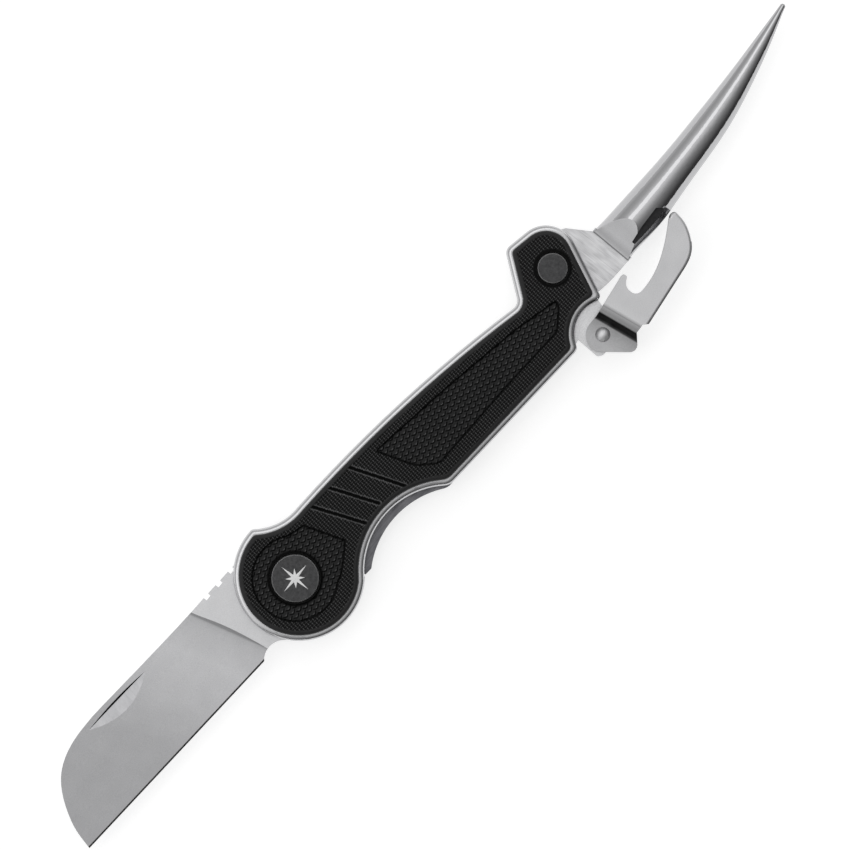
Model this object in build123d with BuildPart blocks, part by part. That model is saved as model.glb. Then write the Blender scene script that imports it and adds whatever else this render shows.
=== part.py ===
"""Rigging knife: a sheepsfoot blade at one end, a marlin spike at the other, a shackle on the spike lock.

The knife lies on its back scale. Z = 0 is the outer face of that scale, X runs from the blade pivot
to the spike pivot, and Y points to the spine side. Both tools are open. All lengths are millimetres.
"""

import os
from math import cos, radians, sin, tan

from build123d import *

os.makedirs("parts", exist_ok=True)

# Stack of the handle, from the back scale up.
SCALE_T = 3.1
LINER_T = 1.6
GAP_T = 3.0
Z_BACK_LINER = SCALE_T
Z_GAP = SCALE_T + LINER_T
Z_FRONT_LINER = Z_GAP + GAP_T
Z_FRONT_SCALE = Z_FRONT_LINER + LINER_T
THICKNESS = Z_FRONT_SCALE + SCALE_T
Z_MID = THICKNESS / 2

# Plates that turn between the liners.
PLATE_T = 2.56
WASHER_T = 0.2
Z_PLATE = Z_MID - PLATE_T / 2

# Pivots.
SPIKE_X = 85.5
BLADE_BARREL_R = 3.0
SPIKE_BARREL_R = 2.2
RUNNING = 0.05
BLADE_CAP_R = 5.05
SPIKE_CAP_R = 3.2
CAP_T = 1.7
CAP_SINK = 0.1
CAP_RING = 0.45

# Handle.
BORDER = 1.2
LINER_ROUND = 1.0
SCALE_ROUND = 0.8
ROUND_END = (1.0, -0.2)
ROUND_END_R = 14.0

# Lock bar of the back liner.
BAR_ROOT_X = 48.0
BAR_SLOT = 0.5
BAR_RELIEF = 1.5

# Blade: the two ends of its edge, and the flat grind that rises from there to the spine.
BLADE_TIP = (-72.1, -3.0)
BLADE_HEEL = (-17.8, -6.2)
BLADE_EDGE_HALF = 0.42
BLADE_GRIND_SLOPE = 0.0455
EDGE_BEVEL = 0.38
STOP_PIN = (0.0, 11.4)
STOP_PIN_R = 1.3
TANG_R = 9.9

# Spike.
SPIKE_TANG_R = 8.0
NECK_X = 97.0
FACET_X = 97.5
FACET_HALF = 1.7
FACET_ANGLE = 24.5
POCKET_HALF = 3.1

# Lever and shackle.
LEVER_PIN = (75.4, -11.0)
LEVER_PIN_R = 1.3
RIVET = (81.5, -17.2)
RIVET_R = 1.0
RIVET_HEAD_R = 1.6
SHEET = 1.0
TAB_HALF = 1.4
BAIL_HALF = 3.3
BAIL_ROUND = 0.6

# Screws of the back scale.
SCREW_PLACES = ((26.0, 1.2), (56.0, -4.0), (77.0, -4.6))
SCREW_HEAD_R = 2.4
SCREW_HEAD_T = 1.2
SCREW_R = 1.25


# Edge curve along the spine, and the round cuts that shape the rest of the outline: centre and radius.
BODY_TOP = ((75.0, 0.65), (44.0, 6.5), (2.0, 9.45))
HORN_CUT = ((11.6, 21.6), 12.35)
LUG_CUT = ((82.6, -18.2), 7.5)
FRONT_CHOIL = ((22.15, -24.3), 18.2)
BACK_CHOIL = ((22.6, -28.0), 20.0)
FRONT_CHOIL_CORNER = ((9.5, -11.3), 5.0)


def handle_outline(choil, inset, extra_corners=()):
    """Sketch of the handle with its thumb cut-out, moved in from the edge of the liner by inset."""
    with BuildSketch() as body:
        with BuildLine():
            ThreePointArc(*BODY_TOP)
            Polyline(BODY_TOP[2], (2.0, -10.5), (85.7, -15.85), (95.9, 7.6), (82.2, 10.3), BODY_TOP[0])
        make_face()
        if inset:
            offset(amount=-inset, kind=Kind.INTERSECTION)
        for corner, radius in (
            ((95.9, 7.6), 6.6 - inset),
            ((82.2, 10.3), 1.9 - inset / 2),
            (BODY_TOP[0], 2.2 + inset),
        ):
            fillet(body.vertices().sort_by_distance(corner)[0], radius=radius)
    with BuildSketch() as outline:
        with Locations(ROUND_END):
            Circle(ROUND_END_R - inset)
        add(body.sketch)
        for place, radius in (HORN_CUT, LUG_CUT, choil):
            with Locations(place):
                Circle(radius + inset, mode=Mode.SUBTRACT)
        for corner, radius in (
            ((2.4, 13.6), 1.1),
            ((12.4, 9.2), 16.0),
            ((36.1, -12.7), 3.2),
            ((75.6, -15.2), 1.6),
            ((88.0, -11.0), 1.2),
            *extra_corners,
        ):
            fillet(outline.vertices().sort_by_distance(corner)[0], radius=radius)
    return outline.sketch


front_outline = handle_outline(FRONT_CHOIL, 0.0, [FRONT_CHOIL_CORNER])
front_scale_outline = handle_outline(FRONT_CHOIL, BORDER, [FRONT_CHOIL_CORNER])
back_outline = handle_outline(BACK_CHOIL, 0.0)
back_scale_outline = handle_outline(BACK_CHOIL, BORDER)

# Scales and liners.
with BuildPart() as front_scale:
    with BuildSketch(Plane.XY.offset(Z_FRONT_SCALE)):
        add(front_scale_outline)
    extrude(amount=SCALE_T)
    rim = front_scale.edges().group_by(Axis.Z)[-1]
    fillet(rim, radius=SCALE_ROUND)
    with Locations((0, 0, THICKNESS)):
        CounterBoreHole(BLADE_BARREL_R, BLADE_CAP_R + CAP_RING, CAP_T + CAP_SINK, SCALE_T)
    with Locations((SPIKE_X, 0, THICKNESS)):
        CounterBoreHole(SPIKE_BARREL_R, SPIKE_CAP_R + CAP_RING, CAP_T + CAP_SINK, SCALE_T)
front_scale.part.label = "front_scale"
export_step(front_scale.part, "parts/front_scale.step")

with BuildSketch() as relief_outline:
    with BuildLine():
        Polyline((6.6, -3.2), (BAR_ROOT_X + 0.4, -4.8), (BAR_ROOT_X + 0.4, -20.0), (6.6, -20.0), close=True)
    make_face()

with BuildPart() as back_scale:
    with BuildSketch():
        add(back_scale_outline)
    extrude(amount=SCALE_T)
    rim = back_scale.edges().group_by(Axis.Z)[0]
    fillet(rim, radius=SCALE_ROUND)
    with Locations(Plane.XY.rotated((180, 0, 0))):
        CounterBoreHole(BLADE_BARREL_R, BLADE_CAP_R + CAP_RING, CAP_T + CAP_SINK, SCALE_T)
        with Locations((SPIKE_X, 0)):
            CounterBoreHole(SPIKE_BARREL_R, SPIKE_CAP_R + CAP_RING, CAP_T + CAP_SINK, SCALE_T)
        for place in SCREW_PLACES:
            with Locations((place[0], -place[1])):
                CounterBoreHole(SCREW_R, SCREW_HEAD_R, SCREW_HEAD_T, SCALE_T)
    with BuildSketch(Plane.XY.offset(SCALE_T - BAR_RELIEF)):
        add(relief_outline.sketch)
    extrude(amount=BAR_RELIEF, mode=Mode.SUBTRACT)
back_scale.part.label = "back_scale"
export_step(back_scale.part, "parts/back_scale.step")

with BuildPart() as front_liner:
    with BuildSketch(Plane.XY.offset(Z_FRONT_LINER)):
        add(front_outline)
    extrude(amount=LINER_T)
    fillet(front_liner.edges().group_by(Axis.Z)[-1], radius=LINER_ROUND)
    with Locations((0, 0, Z_FRONT_SCALE)):
        Hole(BLADE_BARREL_R)
    with Locations((SPIKE_X, 0, Z_FRONT_SCALE)):
        Hole(SPIKE_BARREL_R)
    with Locations((STOP_PIN[0], STOP_PIN[1], Z_FRONT_SCALE)):
        Hole(STOP_PIN_R)
    with Locations((LEVER_PIN[0], LEVER_PIN[1], Z_FRONT_SCALE)):
        Hole(LEVER_PIN_R)
front_liner.part.label = "front_liner"
export_step(front_liner.part, "parts/front_liner.step")

# The lock bar is cut from the back liner; its tip is slanted to meet the tang.
with BuildSketch() as bar_window:
    with BuildLine():
        Polyline((7.1, -3.5), (BAR_ROOT_X, -5.1), (BAR_ROOT_X, -20.0), (12.6, -20.0), close=True)
    make_face()

with BuildSketch() as bar_outline:
    add(back_outline)
    with BuildLine():
        Polyline((7.8, -4.0), (BAR_ROOT_X, -5.1 - BAR_SLOT), (BAR_ROOT_X, -20.0), (13.1, -20.0), close=True)
    make_face(mode=Mode.INTERSECT)

with BuildPart() as back_liner:
    with BuildSketch(Plane.XY.offset(Z_BACK_LINER)):
        add(back_outline)
    extrude(amount=LINER_T)
    fillet(back_liner.edges().group_by(Axis.Z)[0], radius=LINER_ROUND)
    with BuildSketch(Plane.XY.offset(Z_BACK_LINER)):
        add(bar_window.sketch)
    extrude(amount=LINER_T, mode=Mode.SUBTRACT)
    with Locations((0, 0, Z_GAP)):
        Hole(BLADE_BARREL_R)
    with Locations((SPIKE_X, 0, Z_GAP)):
        Hole(SPIKE_BARREL_R)
    with Locations((STOP_PIN[0], STOP_PIN[1], Z_GAP)):
        Hole(STOP_PIN_R)
    with Locations((LEVER_PIN[0], LEVER_PIN[1], Z_GAP)):
        Hole(LEVER_PIN_R)
    for place in SCREW_PLACES:
        with Locations((place[0], place[1], Z_GAP)):
            Hole(SCREW_R)
back_liner.part.label = "back_liner"
export_step(back_liner.part, "parts/back_liner.step")

BALL = (11.6, -6.2)
BALL_R = 0.8
BALL_PROUD = 0.1

with BuildPart() as detent_ball:
    with Locations((BALL[0], BALL[1], Z_GAP + BALL_PROUD - BALL_R)):
        Sphere(BALL_R)
detent_ball.part.label = "detent_ball"
export_step(detent_ball.part, "parts/detent_ball.step")

with BuildPart() as lock_bar:
    with BuildSketch(Plane.XY.offset(Z_BACK_LINER)):
        add(bar_outline.sketch)
    extrude(amount=LINER_T)
    with Locations((BALL[0], BALL[1], Z_GAP + BALL_PROUD - BALL_R)):
        Sphere(BALL_R, mode=Mode.SUBTRACT)
lock_bar.part.label = "lock_bar"
export_step(lock_bar.part, "parts/lock_bar.step")

# Spacer between the liners along the spine, above the edge of the closed blade.
with BuildSketch() as spacer_outline:
    add(handle_outline(BACK_CHOIL, 0.3))
    with BuildLine():
        Polyline((12.9, 6.7), (72.2, -0.4), (72.2, 20.0), (12.9, 20.0), close=True)
    make_face(mode=Mode.INTERSECT)

with BuildPart() as back_spacer:
    with BuildSketch(Plane.XY.offset(Z_GAP)):
        add(spacer_outline.sketch)
    extrude(amount=GAP_T)
back_spacer.part.label = "back_spacer"
export_step(back_spacer.part, "parts/back_spacer.step")

with BuildPart() as stop_pin:
    with BuildSketch(Plane.XY.offset(Z_BACK_LINER)):
        with Locations(STOP_PIN):
            Circle(STOP_PIN_R)
    extrude(amount=Z_FRONT_SCALE - Z_BACK_LINER)
stop_pin.part.label = "stop_pin"
export_step(stop_pin.part, "parts/stop_pin.step")

# Pivot barrels, caps and washers.
BARREL_Z = CAP_T + CAP_SINK

with BuildPart() as blade_pivot:
    with BuildSketch(Plane.XY.offset(BARREL_Z)):
        Circle(BLADE_BARREL_R)
    extrude(amount=THICKNESS - 2 * BARREL_Z)
blade_pivot.part.label = "blade_pivot"
export_step(blade_pivot.part, "parts/blade_pivot.step")

with BuildPart() as spike_pivot:
    with BuildSketch(Plane.XY.offset(BARREL_Z)):
        with Locations((SPIKE_X, 0)):
            Circle(SPIKE_BARREL_R)
    extrude(amount=THICKNESS - 2 * BARREL_Z)
spike_pivot.part.label = "spike_pivot"
export_step(spike_pivot.part, "parts/spike_pivot.step")

# The back caps end level with the back scale, so that the knife lies flat.
for name, x, radius, side, thickness in (
    ("front_pivot_cap", 0.0, BLADE_CAP_R, 1, CAP_T),
    ("back_pivot_cap", 0.0, BLADE_CAP_R, -1, CAP_T + CAP_SINK),
    ("front_spike_cap", SPIKE_X, SPIKE_CAP_R, 1, CAP_T),
    ("back_spike_cap", SPIKE_X, SPIKE_CAP_R, -1, CAP_T + CAP_SINK),
):
    inner = Z_MID + side * (Z_MID - BARREL_Z)
    with BuildPart() as cap:
        with BuildSketch(Plane.XY.offset(inner)):
            with Locations((x, 0)):
                Circle(radius)
        extrude(amount=side * thickness)
        face_end = cap.edges().sort_by(Axis.Z)[-1 if side > 0 else 0]
        chamfer(face_end, length=0.2)
    cap.part.label = name
    export_step(cap.part, f"parts/{name}.step")

for name, x, bore, radius, low in (
    ("blade_washer_front", 0.0, BLADE_BARREL_R, 5.2, Z_FRONT_LINER - WASHER_T),
    ("blade_washer_back", 0.0, BLADE_BARREL_R, 5.2, Z_GAP),
    ("spike_washer_front", SPIKE_X, SPIKE_BARREL_R, 4.4, Z_FRONT_LINER - WASHER_T),
    ("spike_washer_back", SPIKE_X, SPIKE_BARREL_R, 4.4, Z_GAP),
):
    with BuildPart() as washer:
        with BuildSketch(Plane.XY.offset(low)):
            with Locations((x, 0)):
                Circle(radius)
                Circle(bore, mode=Mode.SUBTRACT)
        extrude(amount=WASHER_T)
    washer.part.label = name
    export_step(washer.part, f"parts/{name}.step")

# Blade. The lower tang lobe and the spine shoulder meet the stop pin at each end of the travel.
STOP_OPEN = radians(99.0)
STOP_CLOSED = radians(264.0)
SHOULDER_R = 11.7

with BuildSketch() as blade_outline:
    with BuildLine():
        open_low = (TANG_R * cos(STOP_OPEN), TANG_R * sin(STOP_OPEN))
        open_high = (SHOULDER_R * cos(STOP_OPEN), SHOULDER_R * sin(STOP_OPEN))
        closed_low = (TANG_R * cos(STOP_CLOSED), TANG_R * sin(STOP_CLOSED))
        closed_high = (SHOULDER_R * cos(STOP_CLOSED), SHOULDER_R * sin(STOP_CLOSED))
        lock_low = (8.3, -5.4)
        lock_high = (7.6, -3.6)
        Line(open_low, open_high)
        Line(open_high, (-8.0, 11.9))
        Line((-8.0, 11.9), (-16.2, 12.3))
        Spline(
            (-16.2, 12.3),
            (-30.2, 13.0),
            (-40.2, 13.7),
            (-50.2, 14.4),
            tangents=((-1.0, 0.02), (-1.0, 0.05)),
        )
        Spline(
            (-50.2, 14.4),
            (-58.2, 13.9),
            (-64.2, 11.4),
            (-70.1, 3.7),
            BLADE_TIP,
            tangents=((-1.0, 0.0), (-0.2, -0.98)),
        )
        Line(BLADE_TIP, BLADE_HEEL)
        Spline(BLADE_HEEL, (-16.4, -5.3), (-14.4, -5.1), (-12.0, -6.2))
        ThreePointArc((-12.0, -6.2), (-7.2, -9.9), closed_high)
        Line(closed_high, closed_low)
        ThreePointArc(closed_low, (TANG_R * cos(radians(-65)), TANG_R * sin(radians(-65))), lock_low)
        Line(lock_low, lock_high)
        Line(lock_high, (9.2, -3.6))
        ThreePointArc((9.2, -3.6), (TANG_R, 0.6), open_low)
    make_face()

with BuildSketch() as grind_plan:
    with BuildLine():
        Spline((-20.4, 16.0), (-19.7, 12.2), (-18.0, 7.1), (-16.0, -0.9), (-15.0, -7.0))
        Polyline((-15.0, -7.0), (-80.0, -7.0), (-80.0, 16.0), (-20.4, 16.0))
    make_face()

edge_along = (Vector(*BLADE_HEEL) - Vector(*BLADE_TIP)).normalized()
edge_up = Vector(0, 0, 1).cross(edge_along)
grind_plane = Plane(origin=Vector(*BLADE_HEEL, Z_MID) - 65.0 * edge_along, x_dir=edge_up, z_dir=edge_along)

with BuildPart() as grind_left:
    # Prism outside the flat grind of one face, limited to the plan of the grind.
    with BuildSketch(grind_plane):
        with BuildLine():
            Polyline(
                (-2.0, BLADE_EDGE_HALF - 2.0 * BLADE_GRIND_SLOPE),
                (22.0, BLADE_EDGE_HALF + 22.0 * BLADE_GRIND_SLOPE),
                (22.0, 4.0),
                (-2.0, 4.0),
                close=True,
            )
        make_face()
    extrude(amount=70.0)
    with BuildSketch():
        add(grind_plan.sketch)
    extrude(amount=THICKNESS, mode=Mode.INTERSECT)

# Thumb notches in the spine, by their middle on the spine line.
JIMPS = ((-15.05, 12.24), (-11.3, 12.06), (-7.45, 11.9))
JIMP_W = 1.35
JIMP_DEPTH = 0.75

with BuildPart() as blade:
    with BuildSketch(Plane.XY.offset(Z_PLATE)):
        add(blade_outline.sketch)
        with Locations(*JIMPS):
            Rectangle(JIMP_W, 2 * JIMP_DEPTH, mode=Mode.SUBTRACT)
    extrude(amount=PLATE_T)
    add(grind_left.part, mode=Mode.SUBTRACT)
    add(grind_left.part.mirror(Plane.XY.offset(Z_MID)), mode=Mode.SUBTRACT)
    with Locations((0, 0, Z_MID)):
        Hole(BLADE_BARREL_R + RUNNING)
    edge_middle = ((BLADE_TIP[0] + BLADE_HEEL[0]) / 2, (BLADE_TIP[1] + BLADE_HEEL[1]) / 2, Z_MID)
    edge_face = blade.faces().sort_by_distance(edge_middle)[0]
    chamfer(edge_face.edges().sort_by(SortBy.LENGTH)[-2:], length=EDGE_BEVEL)

# Nail nick: the dip that a wide disc cutter with a slanted rim leaves in the grind, deepest in the middle.
NICK_LEFT = Vector(-52.8, 13.1, 0)
NICK_RIGHT = Vector(-35.5, 11.9, 0)
NICK_DEPTH = 0.5
NICK_WALL = 0.45
NICK_WIDTH = 2.75
CUTTER_RIM = 4.0
nick_length = (NICK_RIGHT - NICK_LEFT).length
nick_along = (NICK_RIGHT - NICK_LEFT).normalized()
nick_middle = (NICK_LEFT + NICK_RIGHT) / 2
nick_height = edge_up.dot(nick_middle - Vector(*BLADE_HEEL))
nick_surface = Z_MID + BLADE_EDGE_HALF + BLADE_GRIND_SLOPE * nick_height
nick_up = (Vector(0, 0, 1).cross(nick_along) + Vector(0, 0, BLADE_GRIND_SLOPE)).normalized()
nick_plane = Plane(origin=nick_middle + Vector(0, 0, nick_surface), x_dir=nick_up, z_dir=nick_along)
cutter_radius = nick_length**2 / (8 * NICK_DEPTH)
cutter_axis = Axis(nick_plane.origin + (cutter_radius - NICK_DEPTH) * nick_plane.y_dir, nick_plane.x_dir)

with BuildPart() as nick:
    with BuildSketch(nick_plane):
        with BuildLine():
            Polyline(
                (2 * NICK_WALL, NICK_DEPTH),
                (0, -NICK_DEPTH),
                (-2 * NICK_WIDTH, NICK_DEPTH),
                (-2 * NICK_WIDTH, CUTTER_RIM),
                (2 * NICK_WALL, CUTTER_RIM),
                close=True,
            )
        make_face()
    revolve(axis=cutter_axis)

with BuildPart() as blade_finished:
    add(blade.part)
    add(nick.part, mode=Mode.SUBTRACT)
blade_finished.part.label = "blade"
export_step(blade_finished.part, "parts/blade.step")

# Spike. The tang is a plate; the spike grows out of it through a tilted facet on each side.
with BuildSketch() as spike_tang_outline:
    with BuildLine():
        tang_top = (SPIKE_X + SPIKE_TANG_R * cos(radians(60)), SPIKE_TANG_R * sin(radians(60)))
        tang_low = (SPIKE_X + SPIKE_TANG_R * cos(radians(-97)), SPIKE_TANG_R * sin(radians(-97)))
        Line((NECK_X + 1.0, -11.45), (NECK_X + 1.0, -1.5))
        Line((NECK_X + 1.0, -1.5), (NECK_X, -1.5))
        Line((NECK_X, -1.5), (93.9, 3.3))
        Spline((93.9, 3.3), (93.0, 3.9), tang_top, tangents=((-0.5, 0.3), (-0.87, 0.5)))
        ThreePointArc(tang_top, (SPIKE_X - SPIKE_TANG_R, 0.0), tang_low)
        Line(tang_low, (tang_low[0] + 0.3, -6.6))
        Line((tang_low[0] + 0.3, -6.6), (87.0, -6.6))
        Line((87.0, -6.6), (87.6, -10.2))
        Spline((87.6, -10.2), (88.5, -10.8), (NECK_X + 1.0, -11.45), tangents=((0.16, -0.98), (1.0, -0.05)))
    make_face()

SPIKE_STATIONS = (
    (NECK_X, -6.5, 5.0),
    (104.0, -6.8, 4.75),
    (112.0, -6.9, 4.5),
    (120.0, -6.7, 4.05),
    (130.0, -6.3, 3.7),
    (140.0, -5.35, 2.95),
    (150.0, -3.85, 1.9),
    (156.0, -2.75, 1.1),
    (159.6, -2.05, 0.62),
)

facet_rise = tan(radians(FACET_ANGLE))

with BuildPart() as facet_cut:
    with BuildSketch(Plane.XZ.offset(15.0)):
        with BuildLine():
            Polyline(
                (NECK_X - 1.0, Z_MID + FACET_HALF),
                (FACET_X, Z_MID + FACET_HALF),
                (FACET_X + 12.0, Z_MID + FACET_HALF + 12.0 * facet_rise),
                (FACET_X + 12.0, Z_MID + 12.0),
                (NECK_X - 1.0, Z_MID + 12.0),
                close=True,
            )
        make_face()
    extrude(amount=-20.0)

# Pocket for one side plate of the shackle: a level floor and a wall that curves round the rivet.
with BuildPart() as pocket_cut:
    with BuildSketch(Plane.XY.offset(Z_MID + POCKET_HALF)):
        with BuildLine():
            Line((99.2, -16.0), (99.2, -9.6))
            Line((99.2, -9.6), (104.5, -8.9))
            Line((104.5, -8.9), (109.4, -8.7))
            ThreePointArc((109.4, -8.7), (110.95, -10.9), (111.9, -16.0))
            Line((111.9, -16.0), (99.2, -16.0))
        make_face()
    extrude(amount=4.0)

with BuildPart() as spike:
    for station in SPIKE_STATIONS:
        with BuildSketch(Plane.YZ.offset(station[0])):
            with Locations((station[1], Z_MID)):
                Circle(station[2])
    loft()
    with Locations((SPIKE_STATIONS[-1][0], SPIKE_STATIONS[-1][1], Z_MID)):
        Sphere(SPIKE_STATIONS[-1][2])
    add(facet_cut.part, mode=Mode.SUBTRACT)
    add(facet_cut.part.mirror(Plane.XY.offset(Z_MID)), mode=Mode.SUBTRACT)
    add(pocket_cut.part, mode=Mode.SUBTRACT)
    add(pocket_cut.part.mirror(Plane.XY.offset(Z_MID)), mode=Mode.SUBTRACT)
    with BuildSketch(Plane.XY.offset(Z_PLATE)):
        add(spike_tang_outline.sketch)
    extrude(amount=PLATE_T)
    with Locations((SPIKE_X, 0, Z_MID)):
        Hole(SPIKE_BARREL_R + RUNNING)
spike.part.label = "spike"
export_step(spike.part, "parts/spike.step")

# Lever with the lug that carries the shackle. Its nose stands under the notch of the spike tang.
with BuildSketch() as lever_outline:
    with BuildLine():
        Line((72.9, -9.4), (75.0, -9.0))
        Line((75.0, -9.0), (83.6, -9.6))
        Line((83.6, -9.6), (84.0, -8.5))
        Line((84.0, -8.5), (86.2, -8.4))
        Line((86.2, -8.4), (86.6, -11.4))
        Spline(
            (86.6, -11.4),
            (86.2, -13.0),
            (85.4, -16.4),
            (82.6, -20.3),
            tangents=((-0.1, -1.0), (-0.9, -0.3)),
        )
        Line((82.6, -20.3), (78.8, -20.1))
        Spline((78.8, -20.1), (77.6, -19.7), (77.2, -18.9), tangents=((-1.0, -0.05), (0.0, 1.0)))
        Line((77.2, -18.9), (77.3, -13.9))
        Spline((77.3, -13.9), (75.0, -13.9), (72.7, -12.2), (72.9, -9.4))
    make_face()

with BuildPart() as lock_lever:
    with BuildSketch(Plane.XY.offset(Z_PLATE)):
        add(lever_outline.sketch)
        with Locations(LEVER_PIN):
            Circle(LEVER_PIN_R + RUNNING, mode=Mode.SUBTRACT)
        with Locations(RIVET):
            Circle(RIVET_R, mode=Mode.SUBTRACT)
    extrude(amount=PLATE_T)
lock_lever.part.label = "lock_lever"
export_step(lock_lever.part, "parts/lock_lever.step")

with BuildPart() as lever_pin:
    with BuildSketch(Plane.XY.offset(Z_BACK_LINER)):
        with Locations(LEVER_PIN):
            Circle(LEVER_PIN_R)
    extrude(amount=Z_FRONT_SCALE - Z_BACK_LINER)
lever_pin.part.label = "lever_pin"
export_step(lever_pin.part, "parts/lever_pin.step")

# Leaf spring with its anchor pin, drawn as it stands when the lever is pressed.
SPRING_T = 0.5
SPRING_PIN = (75.2, -2.9)
SPRING_PIN_R = 0.9

with BuildPart() as lever_spring:
    with BuildSketch(Plane.XY.offset(Z_GAP)):
        with Locations(SPRING_PIN):
            Circle(SPRING_PIN_R)
    extrude(amount=GAP_T)
    with BuildSketch(Plane.XY.offset(Z_PLATE + 0.3)):
        with BuildLine() as leaf:
            Spline((75.0, -3.2), (74.6, -6.0), (73.7, -8.2), (74.6, -8.65))
        trace(line_width=SPRING_T)
    extrude(amount=PLATE_T - 0.6)
lever_spring.part.label = "lever_spring"
export_step(lever_spring.part, "parts/lever_spring.step")

# Shackle: pressed from one sheet, the two side plates joined by a web along the lower side.
with BuildSketch() as bail_plate_outline:
    with BuildLine():
        Line((93.6, -12.25), (86.1, -13.3))
        Line((86.1, -13.3), (83.9, -13.6))
        Spline(
            (83.9, -13.6),
            (79.9, -14.0),
            (77.8, -16.5),
            (78.7, -19.6),
            tangents=((-1.0, -0.06), (0.6, -0.8)),
        )
        Line((78.7, -19.6), (82.2, -23.9))
        Spline((82.2, -23.9), (83.4, -24.6), (84.6, -24.2), tangents=((0.6, -0.75), (0.8, 0.6)))
        Line((84.6, -24.2), (86.4, -22.5))
        Line((86.4, -22.5), (88.6, -22.4))
        Line((88.6, -22.4), (89.5, -23.3))
        Line((89.5, -23.3), (103.2, -21.6))
        Spline(
            (103.2, -21.6),
            (107.6, -20.1),
            (110.6, -16.2),
            (111.4, -12.8),
            tangents=((1.0, 0.12), (0.1, 1.0)),
        )
        Spline((111.4, -12.8), (110.8, -11.95), (109.7, -12.1), tangents=((0.0, 1.0), (-0.9, -0.45)))
        Spline((109.7, -12.1), (102.1, -16.2), (94.7, -17.7), tangents=((-0.85, -0.55), (-1.0, 0.0)))
        Spline((94.7, -17.7), (92.3, -15.8), (93.9, -13.5), tangents=((-1.0, 0.0), (0.9, 0.4)))
        Spline((93.9, -13.5), (94.3, -12.8), (93.6, -12.25), tangents=((0.9, 0.4), (-1.0, -0.1)))
    make_face()

# Lower side of the plates, drawn larger, for the space inside the web.
with BuildSketch() as bail_inside_outline:
    with BuildLine():
        Line((88.6, -30.0), (88.6, -22.3))
        Line((88.6, -22.3), (103.0, -20.55))
        Spline(
            (103.0, -20.55),
            (106.9, -19.3),
            (109.4, -16.5),
            (110.1, -13.9),
            tangents=((1.0, 0.12), (0.1, 1.0)),
        )
        Line((110.1, -13.9), (114.0, -13.4))
        Polyline((114.0, -13.4), (114.0, 0.0), (70.0, 0.0), (70.0, -30.0), (88.6, -30.0))
    make_face()

JOGGLE_TILT = 9.5
joggle_along = Vector(cos(radians(JOGGLE_TILT)), sin(radians(JOGGLE_TILT)), 0)
joggle_across = joggle_along.cross(Vector(0, 0, 1))
joggle_plane = Plane(origin=(83.5, -10.0, Z_MID), x_dir=joggle_along, z_dir=joggle_across)
JOGGLE_INSIDE = -0.4
JOGGLE_OUTSIDE = -0.9
JOGGLE_RUN = 1.6
BEND_TIGHT = 0.4
BEND_WIDE = 1.2
BAND_REACH = 24.0


def joggled_band(start, tab_half, bail_half, tab_bend, bail_bend):
    """Sketch of the space between two levels on each side, which spread apart over the joggle."""
    with BuildSketch(joggle_plane) as band:
        with BuildLine():
            Polyline(
                (-12.0, -tab_half),
                (start, -tab_half),
                (start + JOGGLE_RUN, -bail_half),
                (40.0, -bail_half),
                (40.0, bail_half),
                (start + JOGGLE_RUN, bail_half),
                (start, tab_half),
                (-12.0, tab_half),
                close=True,
            )
        make_face()
        for side in (1, -1):
            low = (start, side * tab_half)
            high = (start + JOGGLE_RUN, side * bail_half)
            fillet(band.vertices().sort_by_distance(low)[0], radius=tab_bend)
            fillet(band.vertices().sort_by_distance(high)[0], radius=bail_bend)
    return band.sketch


inner_band = joggled_band(JOGGLE_INSIDE, TAB_HALF, BAIL_HALF, BEND_WIDE, BEND_TIGHT)
outer_band = joggled_band(JOGGLE_OUTSIDE, TAB_HALF + SHEET, BAIL_HALF + SHEET, BEND_TIGHT, BEND_WIDE)

with BuildPart() as bail_inside:
    # The space between the side plates follows the joggle next to the tabs.
    extrude(inner_band, amount=BAND_REACH, both=True)
    with BuildSketch():
        add(bail_inside_outline.sketch)
    extrude(amount=THICKNESS, mode=Mode.INTERSECT)

with BuildPart() as bail_outside:
    extrude(outer_band, amount=BAND_REACH, both=True)

with BuildPart() as bail:
    with BuildSketch():
        add(bail_plate_outline.sketch)
    extrude(amount=THICKNESS)
    add(bail_outside.part, mode=Mode.INTERSECT)
    for side in (1, -1):
        level = Z_MID + side * (BAIL_HALF + SHEET)
        corners = [(96.3, -22.4, level), (108.8, -19.0, level), (111.2, -12.2, level)]
        fillet([bail.edges().sort_by_distance(corner)[0] for corner in corners], radius=BAIL_ROUND)
    add(bail_inside.part, mode=Mode.SUBTRACT)
    with Locations((RIVET[0], RIVET[1], Z_MID)):
        Hole(RIVET_R + RUNNING)
bail.part.label = "bail"
export_step(bail.part, "parts/bail.step")

HEAD_GAP = 0.05
HEAD_RISE = 0.9
head_ball = (RIVET_HEAD_R**2 + HEAD_RISE**2) / (2 * HEAD_RISE)

with BuildPart() as bail_rivet:
    head_z = TAB_HALF + SHEET + HEAD_GAP
    with BuildSketch(Plane.XY.offset(Z_MID - head_z)):
        with Locations(RIVET):
            Circle(RIVET_R)
    extrude(amount=2 * head_z)
    for side in (1, -1):
        with Locations((RIVET[0], RIVET[1], Z_MID + side * (head_z + HEAD_RISE - head_ball))):
            Sphere(head_ball)
    with BuildSketch(Plane.XY.offset(Z_MID - head_z)):
        with Locations(RIVET):
            Circle(4.0)
            Circle(RIVET_R, mode=Mode.SUBTRACT)
    extrude(amount=2 * head_z, mode=Mode.SUBTRACT)
bail_rivet.part.label = "bail_rivet"
export_step(bail_rivet.part, "parts/bail_rivet.step")

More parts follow.
